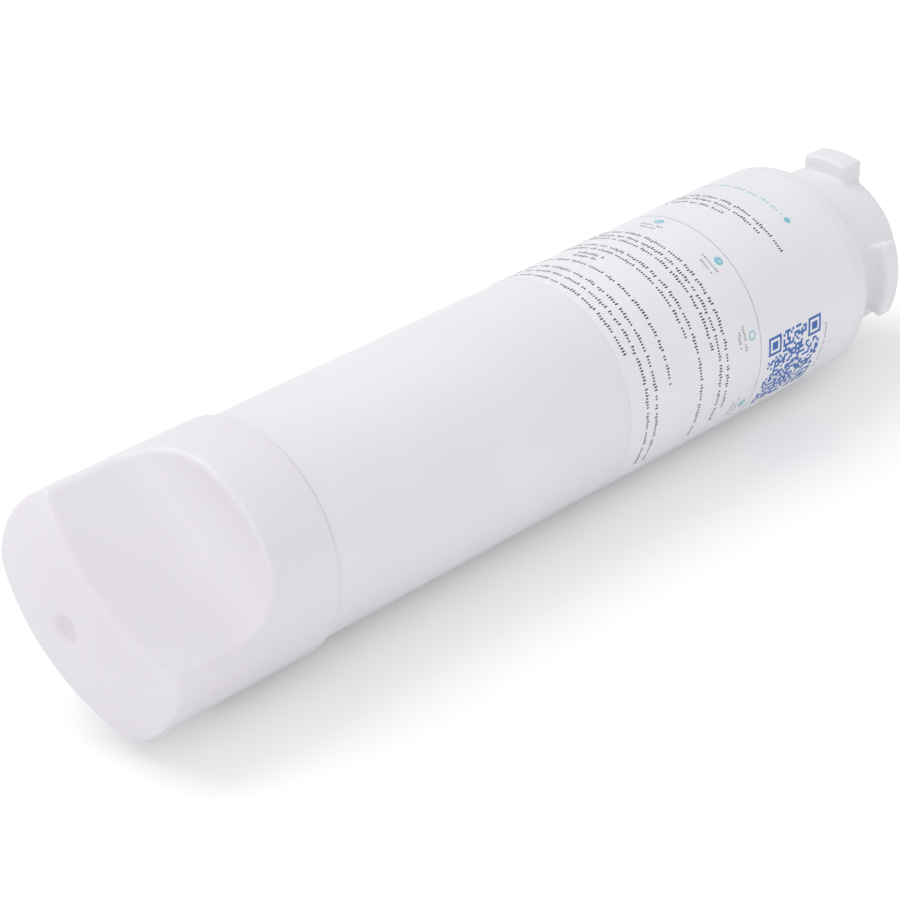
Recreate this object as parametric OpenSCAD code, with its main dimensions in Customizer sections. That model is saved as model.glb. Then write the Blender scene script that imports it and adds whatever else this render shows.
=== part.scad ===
/* [Body] */
// Outside diameter of the pressure body
body_d = 52; // [44:0.5:64]
// Length of the body from the cap joint to the end of the shoulder
body_len = 179; // [150:1:220]
// Wall thickness of the body, neck and cap mouldings
wall = 2.2; // [1.8:0.1:2.6]
// Radius that rounds the edge of the shoulder
shoulder_round = 3; // [1:0.5:4]
// Depth of the fine joint groove left beside the cap
joint_groove_depth = 0.6; // [0.3:0.1:0.8]
// Width of the fine joint groove
joint_groove_w = 0.35; // [0.2:0.05:0.6]

/* [Neck] */
// Outside diameter of the neck behind the lugs
neck_d = 40; // [36:0.5:42]
// Length of the neck from the shoulder to its end face
neck_len = 20.5; // [18:0.5:26]
// Radius that rounds the end of the neck
neck_round = 3.5; // [1:0.5:4]
// Radius of the inside corner between the shoulder and the neck
neck_root = 1.5; // [0.5:0.5:2]
// Thickness of the end wall of the neck
end_wall = 3; // [2.4:0.2:4]

/* [Lugs] */
// Outside diameter over the lugs
lug_d = 48.4; // [46:0.2:51]
// Half of the angle that a locking lug spans
lock_half_angle = 24; // [16:1:30]
// Thickness of a locking lug along the axis
lock_thick = 5; // [4:0.5:6]
// Distance from the neck end face to the back of a locking lug
lock_back = 6.5; // [4:0.5:8]
// Width of a key lug across the neck
key_w = 12.6; // [8:0.2:16]
// Length of a key lug along the axis, back from the neck end face
key_len = 7; // [5:0.5:9]
// Radius of the fillet where a lug grows out of the neck
lug_fillet = 1.6; // [0.6:0.2:2]

/* [Spigot] */
// Diameter of the large land, which seals the inlet
inlet_land_d = 24; // [22:0.5:25]
// Length of the large land
inlet_land_len = 7; // [6:0.5:9]
// Diameter of the small land, which seals the outlet
outlet_land_d = 13; // [12:0.5:13.5]
// Length of the small land
outlet_land_len = 6.5; // [5:0.5:8]
// Diameter of the outlet bore
outlet_bore_d = 7; // [5:0.5:7.5]
// Cord diameter of the large O-ring
inlet_ring_cord = 2.6; // [2.4:0.1:2.8]
// Cord diameter of the small O-ring
outlet_ring_cord = 1.8; // [1.6:0.1:2]
// Part of a cord's diameter that lies below its land
ring_sink = 0.73; // [0.7:0.01:0.8]
// Number of inlet ports between the two lands
port_count = 6; // [4:1:8]
// Diameter of an inlet port
port_d = 2.2; // [1.6:0.1:2.2]
// Distance of the inlet ports from the axis
port_pitch_r = 8.2; // [8:0.1:8.3]

/* [Grip cap] */
// Outside diameter of the cap
cap_d = 54.4; // [53:0.2:60]
// Length of the cap from the joint to the top of its dome
cap_len = 50.3; // [44:0.1:60]
// Radius of the dome that closes the grip bar
dome_r = 63.7; // [50:0.1:90]
// Radius that rounds the edge between the dome and the cap's side
dome_round = 1.6; // [1:0.1:2]
// Thickness of the grip bar between the two finger scoops
bar_thick = 27.3; // [20:0.1:32]
// Radius of the hollow at the back of each finger scoop
scoop_r = 10.9; // [7:0.1:11.5]
// Distance from the joint to the back edge of each finger scoop
scoop_back = 17.7; // [15:0.1:22]
// Turn of the grip bar about the axis, against the key lug
bar_turn = 36.5; // [0:0.5:90]
// Radius that rounds the cap's edge at the joint
cap_edge = 1.2; // [0.8:0.1:1.2]
// Diameter of the gate recess in the middle of the dome
gate_d = 6; // [3:0.5:8]
// Depth of the gate recess
gate_depth = 2; // [0.5:0.1:2.5]

/* [Weld joint] */
// Length of the skirt that enters the body
skirt_len = 8; // [6:0.5:10]
// Thickness of the skirt
skirt_wall = 2.1; // [1.8:0.1:2.4]
// Height of the inner ring that stiffens the joint
flange_len = 4; // [3:0.5:6]
// Play between parts that slide into each other
play = 0.1; // [0.05:0.01:0.15]

/* [Label] */
// Width of the label along the body
label_w = 82.7; // [60:0.1:100]
// Distance from the shoulder to the label
label_inset = 5.6; // [4:0.1:20]
// Thickness of the label film
label_thick = 0.15; // [0.1:0.01:0.3]
// Angle left bare at the butt joint of the label
label_gap_angle = 2; // [1:0.5:6]
// Place of the butt joint around the body
label_joint_turn = 235; // [200:1:300]

/* [Filter element] */
// Outside diameter of the carbon block
block_d = 41; // [36:0.5:41.5]
// Diameter of the bore through the carbon block
block_bore_d = 11; // [10:0.5:14]
// Thickness of the sediment wrap around the block
wrap_thick = 0.8; // [0.4:0.1:0.8]
// Thickness of the sleeve inside the block
sleeve_thick = 0.8; // [0.4:0.1:1]
// Thickness of the element's end caps
disc_thick = 3; // [2.4:0.2:4]
// Depth of the rim that holds the end of the block
rim_depth = 6; // [4:0.5:8]
// Thickness of the rim
rim_thick = 1.5; // [1.2:0.1:1.5]
// Height of the spacer ribs between the element and the shoulder
rib_height = 4.5; // [3:0.5:6]
// Height of the pads between the element and the skirt
pad_height = 1; // [0.6:0.1:2]
// Number of spacer ribs and of pads
rib_count = 4; // [3:1:6]
// Diameter of the bore through the element's stem
stem_bore_d = 4.8; // [4:0.2:5]
// Diameter of the socket that takes the stem
socket_d = 10; // [9.6:0.1:10]
// Depth of the socket behind the end wall
socket_depth = 12; // [10:0.5:14]
// Wall thickness of the socket
socket_wall = 1.8; // [1.4:0.1:1.9]

/* [Hidden] */
$fn = 128;
arc_steps = 10;
// A hair of overlap that joins faces, and how far a cutter runs past the form
eps = 0.01;
overcut = 5;

// Places along the axis: the neck end face is at zero and the spigot points to +X
shoulder_x = -neck_len;
joint_x = shoulder_x - body_len;
apex_x = joint_x - cap_len;
ledge_x = shoulder_x - wall;
skirt_end_x = joint_x + skirt_len;
spigot_tip_x = inlet_land_len + outlet_land_len;

// Radii of the mouldings
body_r = body_d / 2;
bore_r = body_r - wall;
neck_r = neck_d / 2;
lug_r = lug_d / 2;
cap_r = cap_d / 2;
inlet_land_r = inlet_land_d / 2;
outlet_land_r = outlet_land_d / 2;
outlet_bore_r = outlet_bore_d / 2;
socket_r = socket_d / 2;
skirt_r = bore_r - play;

// O-ring grooves: the floor, the half width and the middle of each
inlet_floor_r = inlet_land_r - ring_sink * inlet_ring_cord;
outlet_floor_r = outlet_land_r - ring_sink * outlet_ring_cord;
groove_slack = 1.25;
inlet_groove_half = groove_slack * inlet_ring_cord / 2;
outlet_groove_half = groove_slack * outlet_ring_cord / 2;
inlet_groove_x = inlet_land_len / 2;
outlet_groove_x = inlet_land_len + outlet_land_len / 2;
land_chamfer = 0.7;
smallest_round = 0.4;

// The element fills the body between the ledge inside the shoulder and the skirt
outlet_disc_x = ledge_x - rib_height;
closed_disc_x = skirt_end_x + pad_height;
block_front_x = outlet_disc_x - disc_thick;
block_back_x = closed_disc_x + disc_thick;
block_r = block_d / 2;
wrap_r = block_r + wrap_thick;
rim_in_r = wrap_r + play / 2;
rim_out_r = rim_in_r + rim_thick;
rib_w = 1.6;

// The stem of the outlet end cap and its squeezed O-ring
stem_play = 0.15;
stem_r = socket_r - stem_play;
stem_root_r = 8;
stem_root_len = 4;
stem_tip_gap = 1;
stem_tip_x = -end_wall - stem_tip_gap;
stem_ring_x = -end_wall - socket_depth / 2;
stem_ring_cord_r = 1;
stem_floor_r = 3.6;
stem_groove_half = 1.2;

// Points of an arc about the centre c, written as [radius, place along the axis]
function arc(c, r, a0, a1) =
    [for (i = [0 : arc_steps]) let (a = a0 + (a1 - a0) * i / arc_steps)
        [c[0] + r * cos(a), c[1] + r * sin(a)]];

// Turns a profile that is revolved about Z so that the axis lies along X and angle 0 is up
module along_x() {
    rotate([0, 90, 0]) rotate([0, 0, 180]) children();
}

module revolved() {
    along_x() rotate_extrude() children();
}

// A ring with a square section between two places on the axis
module ring(r_in, r_out, x0, x1) {
    revolved() translate([r_in, x0]) square([r_out - r_in, x1 - x0]);
}

// Outside of the body, from the open end over the shoulder to the end of the neck
function body_outline() = concat(
    [
        [bore_r, joint_x],
        [body_r - joint_groove_depth, joint_x],
        [body_r - joint_groove_depth, joint_x + joint_groove_w],
        [body_r, joint_x + joint_groove_w]
    ],
    arc([body_r - shoulder_round, shoulder_x - shoulder_round], shoulder_round, 0, 90),
    arc([neck_r + neck_root, shoulder_x + neck_root], neck_root, -90, -180),
    arc([neck_r - neck_round, -neck_round], neck_round, 0, 90)
);

// The two stepped lands of the spigot with their grooves
function land_outline(r, x0, x1, floor_r, groove_x, half) = [
    [r, x0],
    [r, groove_x - half],
    [floor_r, groove_x - half],
    [floor_r, groove_x + half],
    [r, groove_x + half],
    [r, x1 - land_chamfer],
    [r - land_chamfer, x1]
];

// Inside of the spigot, the socket, the neck and the body, back to the open end
function bore_outline() = [
    [outlet_bore_r, spigot_tip_x],
    [outlet_bore_r, -end_wall],
    [socket_r, -end_wall],
    [socket_r, -end_wall - socket_depth],
    [socket_r + socket_wall, -end_wall - socket_depth],
    [socket_r + socket_wall, -end_wall],
    [neck_r - wall, -end_wall],
    [neck_r - wall, ledge_x],
    [bore_r, ledge_x]
];

module housing_shell() {
    revolved() polygon(concat(
        body_outline(),
        land_outline(inlet_land_r, 0, inlet_land_len, inlet_floor_r, inlet_groove_x, inlet_groove_half),
        land_outline(outlet_land_r, inlet_land_len, spigot_tip_x, outlet_floor_r, outlet_groove_x,
            outlet_groove_half),
        bore_outline()
    ));
}

// A wide lug that a quarter turn locks behind a ledge of the filter head
module locking_lug(turn) {
    along_x() rotate([0, 0, turn - lock_half_angle])
        rotate_extrude(angle = 2 * lock_half_angle)
            translate([neck_r - wall / 2, -lock_back - lock_thick])
                square([lug_r - neck_r + wall / 2, lock_thick]);
}

// Cross section of a key lug: parallel sides, a round top and fillets at its foot
module key_section() {
    foot_y = sqrt(pow(neck_r + lug_fillet, 2) - pow(key_w / 2 + lug_fillet, 2));
    intersection() {
        circle(r = lug_r);
        translate([neck_r / 2, -key_w / 2]) square([lug_r, key_w]);
    }
    difference() {
        translate([neck_r / 2, -key_w / 2 - lug_fillet])
            square([foot_y - neck_r / 2, key_w + 2 * lug_fillet]);
        for (side = [-1, 1])
            translate([foot_y, side * (key_w / 2 + lug_fillet)]) circle(r = lug_fillet);
        circle(r = neck_r - wall / 2);
    }
}

// A narrow lug beside the end face that steers the cartridge into the head
module key_lug(turn) {
    along_x() rotate([0, 0, turn]) translate([0, 0, -key_len]) linear_extrude(key_len)
        difference() {
            key_section();
            circle(r = neck_r - wall / 2);
        }
}

module inlet_ports() {
    along_x() for (i = [0 : port_count - 1])
        rotate([0, 0, 360 * (i + 0.5) / port_count])
            translate([port_pitch_r, 0, -end_wall - overcut])
                cylinder(d = port_d, h = inlet_land_len + end_wall + 2 * overcut);
}

module housing() {
    color("whitesmoke") difference() {
        union() {
            housing_shell();
            for (turn = [90, 270]) locking_lug(turn);
            for (turn = [0, 180]) key_lug(turn);
        }
        inlet_ports();
    }
}

// Side view of the cap, set in from the outside by a wall thickness
function cap_outline(inset) =
    let (
        side_r = cap_r - inset,
        ball_r = dome_r - inset,
        corner_r = max(dome_round - inset, smallest_round),
        ball_x = apex_x + dome_r,
        corner_x = ball_x - sqrt(pow(ball_r - corner_r, 2) - pow(side_r - corner_r, 2)),
        meet = acos((side_r - corner_r) / (ball_r - corner_r))
    )
    concat(
        [[0, joint_x], [0, ball_x - ball_r]],
        [for (i = [1 : arc_steps]) let (a = (90 - meet) * i / arc_steps)
            [ball_r * sin(a), ball_x - ball_r * cos(a)]],
        arc([side_r - corner_r, corner_x], corner_r, -meet, 0),
        inset > 0 ? [[side_r, joint_x]] : arc([cap_r - cap_edge, joint_x - cap_edge], cap_edge, 0, 90)
    );

// Side view of the air in one finger scoop, grown by a wall thickness
module scoop_profile(grow) {
    bed_x = joint_x - scoop_back - scoop_r;
    floor_r = bar_thick / 2;
    reach = cap_r + overcut;
    union() {
        translate([apex_x - overcut, floor_r - grow]) square([bed_x - apex_x + overcut, reach]);
        translate([bed_x, floor_r + scoop_r]) circle(r = scoop_r + grow);
        translate([bed_x - eps, floor_r + scoop_r]) square([scoop_r + grow + eps, reach]);
    }
}

// The two scoops, cut straight through from side to side
module scoops(grow) {
    for (turn = [bar_turn, bar_turn + 180])
        rotate([turn, 0, 0]) rotate([90, 0, 0])
            translate([0, 0, -cap_r - overcut])
                linear_extrude(2 * (cap_r + overcut)) scoop_profile(grow);
}

// Solid form of the cap: a domed cylinder with a scoop on each side of the bar
module cap_form(inset) {
    difference() {
        revolved() polygon(cap_outline(inset));
        scoops(inset);
    }
}

module grip_cap() {
    gate_boss = gate_d / 2 + wall;
    color("white") difference() {
        union() {
            difference() {
                cap_form(0);
                cap_form(wall);
            }
            along_x() translate([0, 0, apex_x + wall / 2])
                cylinder(r = gate_boss, h = gate_depth + wall / 2);
            ring(skirt_r - skirt_wall, cap_r - wall / 2, joint_x - flange_len, joint_x - cap_edge);
            ring(skirt_r - skirt_wall, body_r, joint_x - flange_len, joint_x);
            ring(skirt_r - skirt_wall, skirt_r, joint_x - eps, skirt_end_x);
        }
        along_x() translate([0, 0, apex_x - overcut]) cylinder(d = gate_d, h = gate_depth + overcut);
    }
}

module label() {
    along_x() color("white") rotate([0, 0, label_joint_turn + label_gap_angle / 2])
        rotate_extrude(angle = 360 - label_gap_angle)
            translate([body_r, shoulder_x - label_inset - label_w]) square([label_thick, label_w]);
}

module inlet_o_ring() {
    color("dimgray") revolved()
        translate([inlet_floor_r + inlet_ring_cord / 2, inlet_groove_x]) circle(d = inlet_ring_cord);
}

module outlet_o_ring() {
    color("dimgray") revolved()
        translate([outlet_floor_r + outlet_ring_cord / 2, outlet_groove_x]) circle(d = outlet_ring_cord);
}

module carbon_block() {
    color("darkslategray") ring(block_bore_d / 2, block_r, block_back_x, block_front_x);
}

module sediment_wrap() {
    color("ivory") ring(block_r, wrap_r, block_back_x, block_front_x);
}

module core_sleeve() {
    color("linen") ring(block_bore_d / 2 - sleeve_thick, block_bore_d / 2, block_back_x, block_front_x);
}

// Ribs on a circle, between two radii and two places on the axis
module rib_circle(r_in, r_out, x0, x1) {
    along_x() for (i = [0 : rib_count - 1])
        rotate([0, 0, 360 * i / rib_count])
            translate([r_in, -rib_w / 2, x0]) cube([r_out - r_in, rib_w, x1 - x0]);
}

// Cup that is glued over the outlet end of the block, with a stem for the socket
module outlet_end_cap() {
    color("whitesmoke") union() {
        revolved() polygon([
            [stem_bore_d / 2, block_front_x],
            [rim_in_r, block_front_x],
            [rim_in_r, block_front_x - rim_depth],
            [rim_out_r, block_front_x - rim_depth],
            [rim_out_r, outlet_disc_x],
            [stem_root_r, outlet_disc_x],
            [stem_r, outlet_disc_x + stem_root_len],
            [stem_r, stem_ring_x - stem_groove_half],
            [stem_floor_r, stem_ring_x - stem_groove_half],
            [stem_floor_r, stem_ring_x + stem_groove_half],
            [stem_r, stem_ring_x + stem_groove_half],
            [stem_r, stem_tip_x - land_chamfer],
            [stem_r - land_chamfer, stem_tip_x],
            [stem_bore_d / 2, stem_tip_x]
        ]);
        rib_circle(neck_r - wall / 2, rim_out_r - rib_w / 2, outlet_disc_x - eps, ledge_x);
    }
}

// Cup that is glued over the blind end of the block
module closed_end_cap() {
    color("whitesmoke") union() {
        revolved() polygon([
            [0, closed_disc_x],
            [rim_out_r, closed_disc_x],
            [rim_out_r, block_back_x + rim_depth],
            [rim_in_r, block_back_x + rim_depth],
            [rim_in_r, block_back_x],
            [0, block_back_x]
        ]);
        rib_circle(skirt_r - skirt_wall + play, rim_out_r - play, skirt_end_x, closed_disc_x + eps);
    }
}

// The stem's O-ring as the socket squeezes it
module stem_o_ring() {
    color("dimgray") revolved() intersection() {
        translate([(stem_floor_r + socket_r) / 2, stem_ring_x]) circle(r = stem_ring_cord_r);
        translate([stem_floor_r, stem_ring_x - stem_groove_half])
            square([socket_r - stem_floor_r, 2 * stem_groove_half]);
    }
}

housing();
grip_cap();
label();
inlet_o_ring();
outlet_o_ring();
carbon_block();
sediment_wrap();
core_sleeve();
outlet_end_cap();
closed_end_cap();
stem_o_ring();
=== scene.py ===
# %% [markdown]
# # A twist-lock water filter cartridge
# The object is a refrigerator filter: a white polypropylene body with a lugged neck and a sealing spigot
# at one end, and a domed cap with a grip bar at the other. A printed film goes round half of the body.
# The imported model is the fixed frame. Blender adds softly rounded mouldings, the print and the finishes.

# %% Load the frame
import math
import random

import bmesh
import bpy
from mathutils import Matrix, Vector
from mathutils.kdtree import KDTree


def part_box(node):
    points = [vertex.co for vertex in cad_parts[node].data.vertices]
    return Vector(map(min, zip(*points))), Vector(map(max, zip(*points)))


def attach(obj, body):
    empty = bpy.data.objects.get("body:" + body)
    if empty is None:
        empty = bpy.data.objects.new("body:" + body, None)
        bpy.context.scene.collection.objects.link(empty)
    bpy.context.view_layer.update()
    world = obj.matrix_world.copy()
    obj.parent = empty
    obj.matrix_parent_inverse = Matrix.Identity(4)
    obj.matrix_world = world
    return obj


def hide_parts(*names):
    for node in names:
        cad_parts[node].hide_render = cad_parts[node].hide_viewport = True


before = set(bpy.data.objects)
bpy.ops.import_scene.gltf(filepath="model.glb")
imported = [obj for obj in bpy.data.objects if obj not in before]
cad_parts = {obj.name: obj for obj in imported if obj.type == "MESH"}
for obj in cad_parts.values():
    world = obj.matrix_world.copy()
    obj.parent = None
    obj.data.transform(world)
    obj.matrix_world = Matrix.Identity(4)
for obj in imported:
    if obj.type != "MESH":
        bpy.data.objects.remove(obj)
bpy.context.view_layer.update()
mm = 0.001
print("nodes:", sorted(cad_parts))

# %% [markdown]
# The pieces made here have to sit exactly where the frame's pieces are, so the main places are read from
# it. The axis of the cartridge is the X axis, and the spigot points to +X. All lengths below are in
# millimetres until a mesh is made from them.

# %% Places read from the frame
housing_low, housing_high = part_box("housing")
cap_low, cap_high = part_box("grip_cap")
label_low, label_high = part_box("label")

joint_x = housing_low.x / mm
tip_x = housing_high.x / mm
body_r = housing_high.z / mm
cap_r = cap_high.z / mm
label_x = label_low.x / mm
label_w = (label_high.x - label_low.x) / mm
label_r = label_high.z / mm
print(f"joint at {joint_x:.1f}, body radius {body_r:.2f}, cap radius {cap_r:.2f}, label {label_w:.1f} wide")

# %% [markdown]
# The camera stands where the photograph was taken from: to the left of the cap's side and above it, with
# a long lens. The viewing direction comes from two angles, and the camera has no roll.

# %% Camera
camera_turn = math.radians(-46.53)
camera_height = math.radians(28.87)
camera_aim = Vector((-144.2, -4.6, 0.0)) * mm
camera_distance = 671.5 * mm
camera_lens = 123.4

towards_camera = Vector((
    math.sin(camera_turn) * math.cos(camera_height),
    -math.cos(camera_turn) * math.cos(camera_height),
    math.sin(camera_height),
))
camera_data = bpy.data.cameras.new("camera")
camera_data.lens = camera_lens
camera_data.sensor_width = 36
camera = bpy.data.objects.new("camera", camera_data)
bpy.context.scene.collection.objects.link(camera)
camera.location = camera_aim + towards_camera * camera_distance
camera.rotation_mode = "QUATERNION"
camera.rotation_quaternion = (-towards_camera).to_track_quat("-Z", "Y")
bpy.context.scene.camera = camera
print("camera at", [round(v, 4) for v in camera.location])

# %% [markdown]
# Small helpers come first. An operator acts on all that is selected, and the frame's nodes come in
# selected, so each piece starts from an empty selection. A finished modifier is applied at once, because
# the next step works on its result.

# %% Helpers for modelling
def select_only(piece):
    bpy.ops.object.select_all(action="DESELECT")
    piece.select_set(True)
    bpy.context.view_layer.objects.active = piece


def apply_modifier(piece, kind, **settings):
    select_only(piece)
    modifier = piece.modifiers.new(kind.title(), kind)
    for name, value in settings.items():
        setattr(modifier, name, value)
    bpy.ops.object.modifier_apply(modifier=modifier.name)
    return piece


def measure(piece, words):
    """Prints the piece's volume and its open edges, of which a closed moulding has none."""
    mesh = bmesh.new()
    mesh.from_mesh(piece.data)
    volume = mesh.calc_volume(signed=True) / mm**3 / 1000
    open_edges = sum(1 for edge in mesh.edges if not edge.is_manifold)
    mesh.free()
    print(f"{words}: {len(piece.data.polygons)} faces, {volume:.2f} cm3, {open_edges} open edges")


def combine(piece, tool, operation):
    words = f"{piece.name} {operation.lower()} {tool.name}"
    apply_modifier(piece, "BOOLEAN", operation=operation, object=tool, solver="EXACT")
    bpy.data.objects.remove(tool)
    measure(piece, words)
    return piece


def cut(piece, tool):
    return combine(piece, tool, "DIFFERENCE")


def fuse(piece, tool):
    return combine(piece, tool, "UNION")


def join(piece, *others):
    select_only(piece)
    for other in others:
        other.select_set(True)
    bpy.ops.object.join()
    return piece


# %% [markdown]
# Most of the cartridge is turned about its axis. A lathe does that: one vertex is drawn out along the
# outline of the half section, point by point, and the chain is spun round the X axis. Spin can turn a
# shape inside out, so the doubled vertices are merged and the normals are made to point outwards.

# %% A lathe and arcs for its outlines
def arc(centre_x, centre_r, radius, start, end, steps=8):
    """Points round a corner. Angle 0 points away from the axis and 90 degrees points to +X."""
    angles = [math.radians(start + (end - start) * i / steps) for i in range(steps + 1)]
    return [(centre_x + radius * math.sin(a), centre_r + radius * math.cos(a)) for a in angles]


def lathe(name, outline, steps=192):
    bpy.ops.object.select_all(action="DESELECT")
    x, r = outline[0]
    bpy.ops.mesh.primitive_plane_add(size=mm, location=(x * mm, 0, r * mm))
    piece = bpy.context.object
    piece.name = piece.data.name = name
    bpy.ops.object.transform_apply(location=True, rotation=True, scale=True)
    bpy.ops.object.mode_set(mode="EDIT")
    bpy.ops.mesh.select_mode(type="VERT")
    bpy.ops.mesh.select_all(action="SELECT")
    bpy.ops.mesh.merge(type="CENTER")
    for next_x, next_r in outline[1:]:
        step = ((next_x - x) * mm, 0, (next_r - r) * mm)
        bpy.ops.mesh.extrude_region_move(TRANSFORM_OT_translate={"value": step})
        x, r = next_x, next_r
    bpy.ops.mesh.select_all(action="SELECT")
    bpy.ops.mesh.spin(steps=steps, angle=math.tau, center=(0, 0, 0), axis=(1, 0, 0))
    bpy.ops.mesh.select_all(action="SELECT")
    bpy.ops.mesh.remove_doubles(threshold=0.001 * mm)
    bpy.ops.mesh.normals_make_consistent(inside=False)
    bpy.ops.object.mode_set(mode="OBJECT")
    measure(piece, name)
    return piece


# %% [markdown]
# A moulded part has no sharp edge: the tool is cut with small radii, and the plastic shrinks away from
# them. A bevel can't follow the edges that a boolean leaves, because it stops at the nearest small face.
# So the form is remeshed into even faces, those away from an edge are put back on the exact form, and the
# narrow band along each edge is smoothed. More passes give a larger radius.

# %% Soften the edges of a form
def points_on_edges(form, spacing):
    mesh = bmesh.new()
    mesh.from_mesh(form.data)
    points = []
    for edge in mesh.edges:
        if len(edge.link_faces) == 2 and edge.calc_face_angle() > math.radians(25):
            start, end = (vertex.co for vertex in edge.verts)
            count = max(1, int((start - end).length / spacing))
            points += [start.lerp(end, i / count) for i in range(count + 1)]
    mesh.free()
    return points


def soften_edges(form, voxel, band, passes):
    points = points_on_edges(form, voxel / 2)
    tree = KDTree(len(points))
    for index, point in enumerate(points):
        tree.insert(point, index)
    tree.balance()
    soft = form.copy()
    soft.data = form.data.copy()
    bpy.context.scene.collection.objects.link(soft)
    apply_modifier(soft, "REMESH", mode="VOXEL", voxel_size=voxel, adaptivity=0)
    away = soft.vertex_groups.new(name="away")
    near = soft.vertex_groups.new(name="near")
    for vertex in soft.data.vertices:
        distance = tree.find(vertex.co)[2]
        weight = min(1, max(0, (distance - band) / band))
        away.add([vertex.index], weight, "REPLACE")
        near.add([vertex.index], 1 - weight, "REPLACE")
    apply_modifier(soft, "SHRINKWRAP", target=form, wrap_method="NEAREST_SURFACEPOINT", vertex_group="away")
    apply_modifier(soft, "SMOOTH", factor=0.5, iterations=passes, vertex_group="near")
    soft.vertex_groups.clear()
    name = form.name
    bpy.data.objects.remove(form)
    soft.name = soft.data.name = name
    measure(soft, f"{name} softened")
    return soft


# %% [markdown]
# The cap is a domed cylinder. Two finger scoops are cut straight across it and leave the grip bar
# between them. Each scoop's tool is a long box with one edge rounded by a bevel, which gives the hollow
# at the back of the scoop its quarter round. The bar stands turned against the neck's key lug.

# %% Outline of the cap and tool of a scoop
dome_r = 63.7
cap_len = 50.3
apex_x = joint_x - cap_len
dome_round = 1.6
joint_round = 1.2
wall = 2.2
bar_half = 27.3 / 2
scoop_r = 10.9
scoop_back_x = joint_x - 17.7
bar_turn = math.radians(36.5)
tool_reach = 8.0


def cap_outline(inset):
    side, ball = cap_r - inset, dome_r - inset
    corner = max(dome_round - inset, 0.4)
    ball_x = apex_x + dome_r
    corner_x = ball_x - math.sqrt((ball - corner) ** 2 - (side - corner) ** 2)
    meet = math.degrees(math.asin((side - corner) / (ball - corner)))
    outline = [(x, r) for x, r in arc(ball_x, 0, ball, -90, -90 + meet, 16)]
    outline[0] = (ball_x - ball, 0.0)
    outline += arc(corner_x, side - corner, corner, -90 + meet, 0)[1:]
    if inset:
        outline.append((joint_x, side))
    else:
        outline += arc(joint_x - joint_round, side - joint_round, joint_round, 0, 90)
    return outline + [(joint_x, 0.0)]


def scoop_tool(inset, turn):
    low_x, high_x = (apex_x - tool_reach) * mm, (scoop_back_x + inset) * mm
    floor, top = (bar_half - inset) * mm, (cap_r + tool_reach) * mm
    bpy.ops.object.select_all(action="DESELECT")
    bpy.ops.mesh.primitive_cube_add(
        size=1,
        location=((low_x + high_x) / 2, 0, (floor + top) / 2),
        scale=(high_x - low_x, 3 * cap_r * mm, top - floor),
    )
    tool = bpy.context.object
    bpy.ops.object.transform_apply(location=True, rotation=True, scale=True)
    bpy.ops.object.mode_set(mode="EDIT")
    bpy.ops.mesh.select_mode(type="EDGE")
    bpy.ops.mesh.select_all(action="DESELECT")
    bpy.ops.object.mode_set(mode="OBJECT")
    for edge in tool.data.edges:
        ends = [tool.data.vertices[i].co for i in edge.vertices]
        edge.select = all(abs(co.x - high_x) < 1e-6 and abs(co.z - floor) < 1e-6 for co in ends)
    bpy.ops.object.mode_set(mode="EDIT")
    bpy.ops.mesh.bevel(offset=(scoop_r + inset) * mm, segments=40, profile=0.5)
    bpy.ops.object.mode_set(mode="OBJECT")
    tool.data.transform(Matrix.Rotation(turn, 4, "X"))
    return tool


def cap_form(name, inset):
    form = lathe(name, cap_outline(inset))
    for turn in (bar_turn, bar_turn + math.pi):
        cut(form, scoop_tool(inset, turn))
    return form


# %% [markdown]
# The recess in the middle of the dome is where the plastic was let into the mould. It is cut before the
# edges are softened, so that its rim is softened with the rest. The cap is a shell: the same form, set in
# by the wall thickness, is cut out of it. A boss backs the recess, and a ring and a skirt join the body.

# %% Grip cap
gate_r = 3.0
gate_depth = 2.0
skirt_r = 23.7
skirt_in_r = 21.6
skirt_end_x = cap_high.x / mm
flange_x = joint_x - 4


def rod(name, radius, x0, x1, sides=64):
    """A plain cylinder along the axis, used as a tool."""
    return lathe(name, [(x0, 0.0), (x0, radius), (x1, radius), (x1, 0.0)], sides)


outer_form = cap_form("grip_cap_moulding", 0)
cut(outer_form, rod("gate", gate_r, apex_x - tool_reach, apex_x + gate_depth))
grip_cap = soften_edges(outer_form, voxel=0.43 * mm, band=1.0 * mm, passes=36)
inner_form = cap_form("inner", wall)
cut(inner_form, rod("boss", gate_r + wall, apex_x, apex_x + gate_depth + wall))
cut(grip_cap, inner_form)
skirt_outline = [
    (flange_x, skirt_in_r),
    (flange_x, body_r - wall / 2),
    (joint_x, body_r - wall / 2),
    (joint_x, skirt_r),
    (skirt_end_x, skirt_r),
    (skirt_end_x, skirt_in_r),
    (flange_x, skirt_in_r),
]
fuse(grip_cap, lathe("skirt", skirt_outline))
print("grip cap:", len(grip_cap.data.polygons), "faces")

# %% [markdown]
# The body, neck, lugs and spigot are one moulding. Its front end carries all the edges that the eye
# meets, so it is made apart and softened: a lathe for the shoulder and neck, and lugs that are slices of
# a ring. Bisect cuts a ring along planes and fills the cuts, as a saw would.

# %% Front of the housing
front_x = label_x + label_w - 4
shoulder_x = -20.5
shoulder_round = 3.0
neck_r = 20.0
neck_root = 1.5
neck_round = 3.5
lug_r = 24.2
lock_x = (-11.5, -6.5)
lock_half_angle = 24.0
key_x = (-7.0, -0.05)
key_half_width = 6.3
end_wall = 3.0

front_outline = [(front_x, 0.0), (front_x, body_r)]
front_outline += arc(shoulder_x - shoulder_round, body_r - shoulder_round, shoulder_round, 0, 90)
front_outline += arc(shoulder_x + neck_root, neck_r + neck_root, neck_root, 270, 180)
front_outline += arc(-neck_round, neck_r - neck_round, neck_round, 0, 90)
front_outline += [(0.0, 0.0)]


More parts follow.
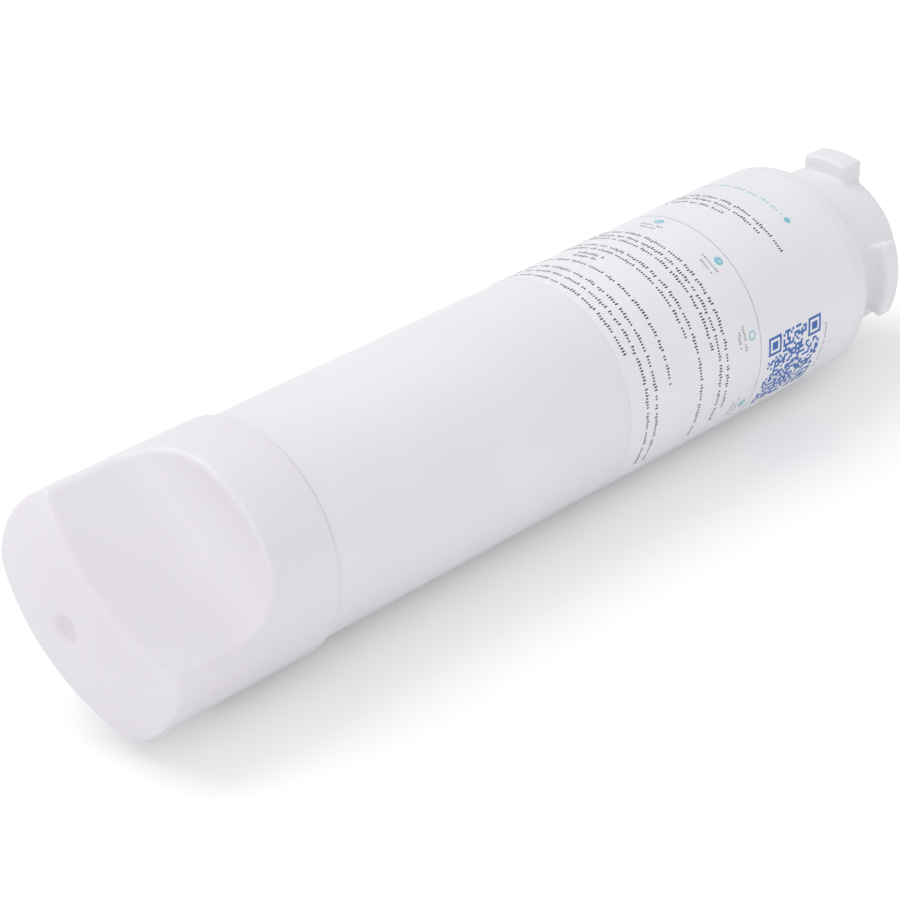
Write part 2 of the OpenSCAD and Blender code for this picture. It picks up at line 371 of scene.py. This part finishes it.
def saw(piece, point, normal):
    """Takes away what lies on the side that the normal points to."""
    select_only(piece)
    bpy.ops.object.mode_set(mode="EDIT")
    bpy.ops.mesh.select_all(action="SELECT")
    bpy.ops.mesh.bisect(plane_co=point, plane_no=normal, use_fill=True, clear_outer=True)
    bpy.ops.object.mode_set(mode="OBJECT")


def ring_blank(x0, x1):
    inside = neck_r - wall / 2
    return lathe("blank", [(x0, inside), (x0, lug_r), (x1, lug_r), (x1, inside), (x0, inside)])


def lock_lug(turn):
    lug = ring_blank(*lock_x)
    for side in (-1, 1):
        edge = math.radians(lock_half_angle)
        saw(lug, (0, 0, 0), (0, side * math.cos(edge), -math.sin(edge)))
    lug.data.transform(Matrix.Rotation(turn, 4, "X"))
    return lug


def key_lug(turn):
    lug = ring_blank(*key_x)
    saw(lug, (0, 0, 0), (0, 0, -1))
    for side in (-1, 1):
        saw(lug, (0, side * key_half_width * mm, 0), (0, side, 0))
    lug.data.transform(Matrix.Rotation(turn, 4, "X"))
    return lug


front = lathe("housing_moulding", front_outline)
for turn in (math.pi / 2, -math.pi / 2):
    fuse(front, lock_lug(turn))
for turn in (0, math.pi):
    fuse(front, key_lug(turn))
front = soften_edges(front, voxel=0.4 * mm, band=0.8 * mm, passes=20)

# %% [markdown]
# The spigot has two stepped lands, each with a square groove for its O-ring. Water comes in through six
# small ports between the lands and goes out through the bore in the tip. Inside, a socket takes the
# element's stem. The long tube needs no softening, so it stays a plain lathe, and its end is under the
# label. A fine groove beside the cap makes the dark line of the joint.

# %% Spigot, inside and tube of the housing
land_r = (12.0, 6.5)
land_x = (0.0, 7.0, tip_x)
groove_floor_r = (12.0 - 0.73 * 2.6, 6.5 - 0.73 * 1.8)
groove_half = (1.25 * 2.6 / 2, 1.25 * 1.8 / 2)
chamfer = 0.7
bore_r = 3.5
port_r = 1.1
port_pitch_r = 8.2
port_count = 6
socket_r = 5.0
socket_wall = 1.8
socket_end_x = -15.0


def land_outline(which):
    x0, x1, r = land_x[which], land_x[which + 1], land_r[which]
    middle, half, floor = (x0 + x1) / 2, groove_half[which], groove_floor_r[which]
    return [
        (x0, r),
        (middle - half, r),
        (middle - half, floor),
        (middle + half, floor),
        (middle + half, r),
        (x1 - chamfer, r),
        (x1, r - chamfer),
    ]


spigot_outline = [(-end_wall / 2, 0.0), (-end_wall / 2, land_r[0])]
spigot_outline += land_outline(0) + land_outline(1) + [(tip_x, 0.0)]
fuse(front, lathe("spigot", spigot_outline))

inside_r = body_r - wall
cavity_outline = [
    (front_x - 1, 0.0),
    (front_x - 1, inside_r),
    (shoulder_x - wall, inside_r),
    (shoulder_x - wall, neck_r - wall),
    (-end_wall, neck_r - wall),
    (-end_wall, socket_r + socket_wall),
    (socket_end_x, socket_r + socket_wall),
    (socket_end_x, socket_r),
    (-end_wall, socket_r),
    (-end_wall, 0.0),
]
cut(front, lathe("cavity", cavity_outline))
cut(front, rod("outlet", bore_r, -end_wall - 1, tip_x + 1))
for index in range(port_count):
    port = rod("port", port_r, -end_wall - 1, land_x[1] + 1, sides=24)
    port_angle = math.tau * (index + 0.5) / port_count
    port.data.transform(Matrix.Rotation(port_angle, 4, "X") @ Matrix.Translation((0, 0, port_pitch_r * mm)))
    cut(front, port)

joint_groove_w = 0.35
joint_groove_r = body_r - 0.6
tube_outline = [
    (joint_x, inside_r),
    (joint_x, joint_groove_r),
    (joint_x + joint_groove_w, joint_groove_r),
    (joint_x + joint_groove_w, body_r),
    (front_x, body_r),
    (front_x, inside_r),
    (joint_x, inside_r),
]
housing = join(front, lathe("tube", tube_outline))
print("housing:", len(housing.data.polygons), "faces")

# %% [markdown]
# Both mouldings ride on the cartridge's one body and stand for the frame's nodes. Faces are smooth up to
# a small angle, so that grooves stay crisp.

# %% Hand the mouldings to the frame
def hand_over(piece, slot, *nodes):
    select_only(piece)
    bpy.ops.object.shade_smooth_by_angle(angle=math.radians(35))
    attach(piece, "root")
    if nodes:
        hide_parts(*nodes)


hand_over(grip_cap, "white_moulding", "grip_cap")
hand_over(housing, "white_moulding", "housing")

# %% [markdown]
# The label is printed flat and then rolled round the body, and the print is made here in the same way.
# A row of text is too small to read, so it is greeked: a flat grid is cut into upright strokes with gaps
# between the words, some strokes taller and some deeper than the rest. It says nothing.

# %% Lay out a row of print and roll it up
ink_thickness = 0.02
print_random = random.Random(7)


def keep_faces(piece, wanted):
    """Deletes each face whose column and row the rule doesn't want."""
    bpy.ops.object.mode_set(mode="EDIT")
    bpy.ops.mesh.select_mode(type="FACE")
    bpy.ops.mesh.select_all(action="DESELECT")
    bpy.ops.object.mode_set(mode="OBJECT")
    for face in piece.data.polygons:
        face.select = not wanted(face.center)
    bpy.ops.object.mode_set(mode="EDIT")
    bpy.ops.mesh.delete(type="FACE")
    bpy.ops.object.mode_set(mode="OBJECT")


def flat_sheet(columns, rows, width, height, left, middle):
    """A flat grid: X runs round the body from its top towards the camera, and Y along the body."""
    bpy.ops.object.select_all(action="DESELECT")
    bpy.ops.mesh.primitive_grid_add(
        x_subdivisions=columns,
        y_subdivisions=rows,
        size=1,
        location=((left + width / 2) * mm, middle * mm, 0),
    )
    sheet = bpy.context.object
    sheet.scale = (width * mm, height * mm, 1)
    bpy.ops.object.transform_apply(location=True, rotation=True, scale=True)
    return sheet


def text_row(start_angle, end_angle, along, height=1.25, pitch=0.36):
    left = math.radians(start_angle) * label_r
    width = math.radians(end_angle - start_angle) * label_r
    columns = max(6, int(width / pitch))
    columns -= columns % 2
    row = flat_sheet(columns, 4, width, height, left, along)
    tall, deep, blank = set(), set(), set()
    letter = 0
    while letter < columns // 2:
        word = print_random.choice((2, 3, 4, 5, 6, 7, 8, 9))
        for index in range(letter, letter + word):
            kind = print_random.random()
            if kind < 0.28:
                tall.add(index)
            elif kind > 0.88:
                deep.add(index)
        blank.add(letter + word)
        letter += word + 1

    def is_ink(centre):
        column = int((centre.x / mm - left) / width * columns)
        band = int(((centre.y / mm - along) / height + 0.5) * 4)
        index = column // 2
        if column % 2 or index in blank:
            return False
        return band in (1, 2) or (band == 3 and index in tall) or (band == 0 and index in deep)

    keep_faces(row, is_ink)
    return row


def roll_up(name, sheets, lift=0.0):
    """Joins flat sheets, gives them the ink's thickness and rolls them round the label."""
    piece = join(sheets[0], *sheets[1:])
    piece.name = piece.data.name = name
    for vertex in piece.data.vertices:
        angle = vertex.co.x / mm / label_r
        radius = (label_r + lift) * mm
        vertex.co = (label_x * mm + vertex.co.y, -radius * math.sin(angle), radius * math.cos(angle))
    apply_modifier(piece, "SOLIDIFY", thickness=ink_thickness * mm, offset=1)
    print(f"{name}: {len(piece.data.polygons)} faces")
    return piece


# %% [markdown]
# The places of the rows are measured from the edge of the label on the cap's side, in millimetres, and
# their ends are angles from the top of the body. All rows start on the side away from the camera.

# %% The main text
row_start = -55.0
main_rows = [
    (2.6, 56), (5.7, 121), (8.8, 122), (13.8, 80), (22.1, 62), (24.4, 121), (29.1, 74),
    (31.2, 119), (33.8, 112), (57.2, 10), (59.8, 31), (62.1, 45),
]
sheets = [text_row(row_start, end, along) for along, end in main_rows]
sheets += [text_row(-15, 2, along) for along in (17.2, 19.0)]
main_text = roll_up("label_text", sheets)

# %% [markdown]
# Four small notes stand in a line further along, each two short grey rows with a round pale mark. A thin
# ring runs round the label beyond them, and there is one more pale row near the neck.

# %% Notes, marks and lines
note_angles = (-7.0, 34.0, 76.0, 117.0)
note_half_span = 7.0
sheets = []
for middle in note_angles:
    for along, share in ((38.9, 0.7), (40.6, 1.0)):
        half = note_half_span * share
        sheets.append(text_row(middle - half, middle + half, along, height=1.0, pitch=0.3))
sheets.append(text_row(90, 120, 70.6, height=0.8, pitch=0.3))
small_text = roll_up("label_small_text", sheets)


def flat_ring(middle_angle, along, radius, hole=0.0):
    """A flat round mark: a filled circle, inset and opened where it is a ring."""
    bpy.ops.object.select_all(action="DESELECT")
    place = (math.radians(middle_angle) * label_r * mm, along * mm, 0)
    bpy.ops.mesh.primitive_circle_add(vertices=28, radius=radius * mm, fill_type="NGON", location=place)
    mark = bpy.context.object
    bpy.ops.object.transform_apply(location=True, rotation=True, scale=True)
    if hole:
        bpy.ops.object.mode_set(mode="EDIT")
        bpy.ops.mesh.select_all(action="SELECT")
        bpy.ops.mesh.inset(thickness=(radius - hole) * mm)
        bpy.ops.mesh.delete(type="FACE")
        bpy.ops.object.mode_set(mode="OBJECT")
    return mark


sheets = [flat_ring(angle, 43.2, 1.2, hole=0.0 if index != 2 else 0.8) for index, angle in enumerate(note_angles)]
sheets.append(flat_ring(30.5, 70.2, 0.9))
sheets.append(text_row(row_start, 27, 70.2, height=1.1))
marks = roll_up("label_marks", sheets)

line_start, line_end = -60.0, 150.0
line_width = math.radians(line_end - line_start) * label_r
thin_line = flat_sheet(120, 1, line_width, 0.25, math.radians(line_start) * label_r, 46.0)
thin_line = roll_up("label_ring_line", [thin_line])

# %% [markdown]
# A square blue patch stands near the neck. Its pattern of small squares is drawn at random, with plain
# frames in three corners, so it holds no code and leads nowhere.

# %% The blue patch
patch_side = 19.5
patch_start = 82.5
patch_along = 48.9
patch_cells = 29
frame_cells = 7
patch_left = math.radians(patch_start) * label_r
patch_random = random.Random(21)
dark_cells = {
    (column, row)
    for column in range(patch_cells)
    for row in range(patch_cells)
    if patch_random.random() < 0.5
}


def in_corner(column, row):
    """Place inside a corner frame, or None."""
    far = patch_cells - frame_cells
    for corner_column, corner_row in ((0, 0), (0, far), (far, far)):
        inside = (column - corner_column, row - corner_row)
        if all(-1 <= step <= frame_cells for step in inside):
            return inside
    return None


def is_dark(centre):
    column = int((centre.x / mm - patch_left) / patch_side * patch_cells)
    row = int((centre.y / mm - patch_along) / patch_side * patch_cells)
    inside = in_corner(column, row)
    if inside is None:
        return (column, row) in dark_cells
    from_middle = max(abs(step - frame_cells // 2) for step in inside)
    return from_middle <= 1 or from_middle == frame_cells // 2


patch = flat_sheet(patch_cells, patch_cells, patch_side, patch_side, patch_left, patch_along + patch_side / 2)
keep_faces(patch, is_dark)
patch = roll_up("label_patch", [patch])

for print_piece in (main_text, small_text, marks, thin_line, patch):
    hand_over(print_piece, "label_film")

# %% [markdown]
# Every material is written as the real one is: a base colour as a hex value, turned from sRGB to linear
# by one function, and roughness and IOR on the shader's own sockets. A second function adds a node, sets
# its values and links its inputs, which keeps each material to a few lines.

# %% Helpers for materials
def linear(code):
    channels = [int(code[i : i + 2], 16) / 255 for i in (1, 3, 5)]
    return [c / 12.92 if c <= 0.04045 else ((c + 0.055) / 1.055) ** 2.4 for c in channels] + [1.0]


def add_node(tree, kind, settings=None, **inputs):
    """Adds a node. An input is a value, or the output socket of another node."""
    node = tree.nodes.new(kind)
    for name, value in (settings or {}).items():
        setattr(node, name, value)
    for name, value in inputs.items():
        socket = node.inputs[name.replace("_", " ")]
        if isinstance(value, bpy.types.NodeSocket):
            tree.links.new(value, socket)
        else:
            socket.default_value = value
    return node


def new_material(name):
    material = bpy.data.materials.new(name)
    material.use_nodes = True
    tree = material.node_tree
    shader = tree.nodes["Principled BSDF"]
    place = add_node(tree, "ShaderNodeTexCoord").outputs["Object"]
    return material, tree, shader, place


def paint(piece, material):
    piece.data.materials.clear()
    piece.data.materials.append(material)


def two_tones(tree, factor, low, high, start=0.35, end=0.65):
    ramp = add_node(tree, "ShaderNodeValToRGB", Fac=factor)
    ramp.color_ramp.elements[0].position = start
    ramp.color_ramp.elements[0].color = linear(low)
    ramp.color_ramp.elements[1].position = end
    ramp.color_ramp.elements[1].color = linear(high)
    return ramp.outputs["Color"]


# %% [markdown]
# The body and cap are injection-moulded polypropylene. It is a slightly cool white, a little
# translucent, with the fine satin that the tool's blasted steel leaves. Its IOR is 1.49. The grain is
# about 0.3 mm, which is finer than the picture shows, so the bump is faint. A very slow change of tone,
# over about 60 mm, is what keeps a large white moulding from looking drawn.

# %% Moulded polypropylene
def moulded_polypropylene(name, low, high, roughness):
    material, tree, shader, place = new_material(name)
    slow = add_node(tree, "ShaderNodeTexNoise", Vector=place, Scale=1000 / 60, Detail=2.0)
    grain = add_node(tree, "ShaderNodeTexNoise", Vector=place, Scale=1000 / 0.3, Detail=1.0)
    bump = add_node(tree, "ShaderNodeBump", Height=grain.outputs["Fac"], Strength=0.05, Distance=0.02 * mm)
    tree.links.new(two_tones(tree, slow.outputs["Fac"], low, high), shader.inputs["Base Color"])
    tree.links.new(bump.outputs["Normal"], shader.inputs["Normal"])
    shader.inputs["Roughness"].default_value = roughness
    shader.inputs["IOR"].default_value = 1.49
    shader.inputs["Subsurface Weight"].default_value = 0.12
    shader.inputs["Subsurface Radius"].default_value = (1.0, 0.9, 0.9)
    shader.inputs["Subsurface Scale"].default_value = 1.5 * mm
    return material


body_plastic = moulded_polypropylene("polypropylene_body", "#E6E6EA", "#EAEAEE", 0.4)
cap_plastic = moulded_polypropylene("polypropylene_cap", "#E4E0E6", "#E9E6EB", 0.42)
element_plastic = moulded_polypropylene("polypropylene_element", "#DEDFE0", "#E4E5E6", 0.45)
paint(housing, body_plastic)
paint(grip_cap, cap_plastic)
for node in ("outlet_end_cap", "closed_end_cap"):
    paint(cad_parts[node], element_plastic)

# %% [markdown]
# The label is a white polypropylene film with a satin varnish, a touch brighter and smoother than the
# body under it. The inks are printed on it: a very dark violet grey for the text, a mid grey for the
# notes, a pale blue green for the marks and a strong blue for the patch.

# %% Label film and inks
def printed_ink(name, low, high, roughness=0.45):
    """Ink lies unevenly on film, so its tone changes a little over about 2 mm."""
    material, tree, shader, place = new_material(name)
    cover = add_node(tree, "ShaderNodeTexNoise", Vector=place, Scale=1000 / 2, Detail=3.0)
    tree.links.new(two_tones(tree, cover.outputs["Fac"], low, high), shader.inputs["Base Color"])
    shader.inputs["Roughness"].default_value = roughness
    shader.inputs["IOR"].default_value = 1.5
    return material


def label_film():
    material, tree, shader, place = new_material("polypropylene_film")
    slow = add_node(tree, "ShaderNodeTexNoise", Vector=place, Scale=1000 / 40, Detail=2.0)
    ripple = add_node(tree, "ShaderNodeTexNoise", Vector=place, Scale=1000 / 12, Detail=1.0)
    bump = add_node(tree, "ShaderNodeBump", Height=ripple.outputs["Fac"], Strength=0.1, Distance=0.05 * mm)
    tree.links.new(two_tones(tree, slow.outputs["Fac"], "#E9E9EE", "#EDEDF2"), shader.inputs["Base Color"])
    tree.links.new(bump.outputs["Normal"], shader.inputs["Normal"])
    shader.inputs["Roughness"].default_value = 0.32
    shader.inputs["IOR"].default_value = 1.5
    return material


paint(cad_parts["label"], label_film())
paint(main_text, printed_ink("ink_text", "#37334A", "#433F58"))
paint(small_text, printed_ink("ink_notes", "#8C8A94", "#9A98A2"))
paint(marks, printed_ink("ink_marks", "#7FBED0", "#93CBDA"))
paint(thin_line, printed_ink("ink_line", "#A9B6C6", "#B5C1CF"))
paint(patch, printed_ink("ink_patch", "#2F61AE", "#3C6EB9"))

# %% [markdown]
# Inside, the block is pressed from activated carbon: matt black grains of about half a millimetre. The
# wrap and sleeve are a soft nonwoven of fine fibres that lie in all directions. The O-rings are moulded
# nitrile rubber, nearly black, and slightly shiny where the mould was polished.

# %% Carbon, nonwoven and rubber
def pressed_carbon():
    material, tree, shader, place = new_material("activated_carbon")
    grains = add_node(tree, "ShaderNodeTexVoronoi", Vector=place, Scale=1000 / 0.5)
    bump = add_node(tree, "ShaderNodeBump", Height=grains.outputs["Distance"], Strength=0.6, Distance=0.1 * mm)
    tree.links.new(two_tones(tree, grains.outputs["Distance"], "#18181A", "#2A2A2D"), shader.inputs["Base Color"])
    tree.links.new(bump.outputs["Normal"], shader.inputs["Normal"])
    shader.inputs["Roughness"].default_value = 0.85
    return material


def nonwoven():
    material, tree, shader, place = new_material("nonwoven_polypropylene")
    stretched = add_node(tree, "ShaderNodeMapping", Vector=place, Scale=(1.0, 0.35, 0.35))
    fibres = add_node(
        tree, "ShaderNodeTexNoise", Vector=stretched.outputs["Vector"], Scale=1000 / 0.8, Detail=4.0, Distortion=1.5
    )
    bump = add_node(tree, "ShaderNodeBump", Height=fibres.outputs["Fac"], Strength=0.5, Distance=0.1 * mm)
    tree.links.new(two_tones(tree, fibres.outputs["Fac"], "#D6D6D2", "#EAEAE7"), shader.inputs["Base Color"])
    tree.links.new(bump.outputs["Normal"], shader.inputs["Normal"])
    shader.inputs["Roughness"].default_value = 0.9
    shader.inputs["Sheen Weight"].default_value = 0.2
    return material


def nitrile_rubber():
    material, tree, shader, place = new_material("nitrile_rubber")
    bloom = add_node(tree, "ShaderNodeTexNoise", Vector=place, Scale=1000 / 1.5, Detail=3.0)
    tree.links.new(two_tones(tree, bloom.outputs["Fac"], "#161618", "#202022"), shader.inputs["Base Color"])
    shader.inputs["Roughness"].default_value = 0.5
    shader.inputs["IOR"].default_value = 1.52
    return material


carbon, fleece, rubber = pressed_carbon(), nonwoven(), nitrile_rubber()
paint(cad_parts["carbon_block"], carbon)
for node in ("sediment_wrap", "core_sleeve"):
    paint(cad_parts[node], fleece)
for node in ("inlet_o_ring", "outlet_o_ring", "stem_o_ring"):
    paint(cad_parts[node], rubber)

# %% [markdown]
# The cartridge lies on its side on a white table. The cap is a little wider than the body, so it lies
# with a very small tilt, which the floor takes here, because the object stays in its own frame. The floor
# shows a plain white outside the shadow: a faint glow that only the camera sees lifts it to white.

# %% Floor and world
cap_rest_x = joint_x - joint_round
label_end_x = label_x + label_w
floor_slope = math.atan((cap_r - label_r) / (label_end_x - cap_rest_x))
floor_size = 6.0
bpy.ops.object.select_all(action="DESELECT")
bpy.ops.mesh.primitive_plane_add(size=floor_size)
floor = bpy.context.object
floor.name = "floor"
floor.data.transform(Matrix.Rotation(-floor_slope, 4, "Y"))
floor.data.transform(Matrix.Translation((cap_rest_x * mm, 0, -cap_r * mm)))

floor_glow = 0.12
floor_material, tree, shader, place = new_material("white_table")
shader.inputs["Base Color"].default_value = linear("#FAFAFA")
shader.inputs["Roughness"].default_value = 0.8
rays = add_node(tree, "ShaderNodeLightPath")
glow = add_node(tree, "ShaderNodeMath", {"operation": "MULTIPLY"})
tree.links.new(rays.outputs["Is Camera Ray"], glow.inputs[0])
glow.inputs[1].default_value = floor_glow
shader.inputs["Emission Color"].default_value = linear("#FFFFFF")
tree.links.new(glow.outputs["Value"], shader.inputs["Emission Strength"])
paint(floor, floor_material)

world_light = 0.74
world = bpy.data.worlds.new("studio")
bpy.context.scene.world = world
world.use_nodes = True
tree = world.node_tree
background = tree.nodes["Background"]
background.inputs["Color"].default_value = linear("#FFFFFF")
rays = add_node(tree, "ShaderNodeLightPath")
level = add_node(tree, "ShaderNodeMath", {"operation": "MULTIPLY_ADD"})
tree.links.new(rays.outputs["Is Camera Ray"], level.inputs[0])
level.inputs[1].default_value = 1.0 - world_light
level.inputs[2].default_value = world_light
tree.links.new(level.outputs["Value"], background.inputs["Strength"])

# %% [markdown]
# Two large soft lamps light it. The key is high on the left behind the cap, which leaves the soft shadow
# on the right below the body, and a weak fill keeps the cap's face from going dark.

# %% Lamps
def soft_lamp(name, place, aim, size, power):
    data = bpy.data.lights.new(name, "AREA")
    data.shape = "SQUARE"
    data.size = size
    data.energy = power
    lamp = bpy.data.objects.new(name, data)
    bpy.context.scene.collection.objects.link(lamp)
    lamp.location = place
    lamp.rotation_mode = "QUATERNION"
    lamp.rotation_quaternion = (Vector(aim) - Vector(place)).to_track_quat("-Z", "Y")
    return lamp


middle = (-0.12, 0.0, 0.0)
soft_lamp("key", (-0.35, 0.55, 0.95), middle, 0.9, 4.6)
soft_lamp("fill", (-0.9, -0.7, 0.5), middle, 0.8, 1.5)

# %% [markdown]
# The picture is shown without any grading. The frame's, and that of the dressed object, which has to
# stay inside it.

# %% Finish
bpy.context.scene.view_settings.view_transform = "Standard"
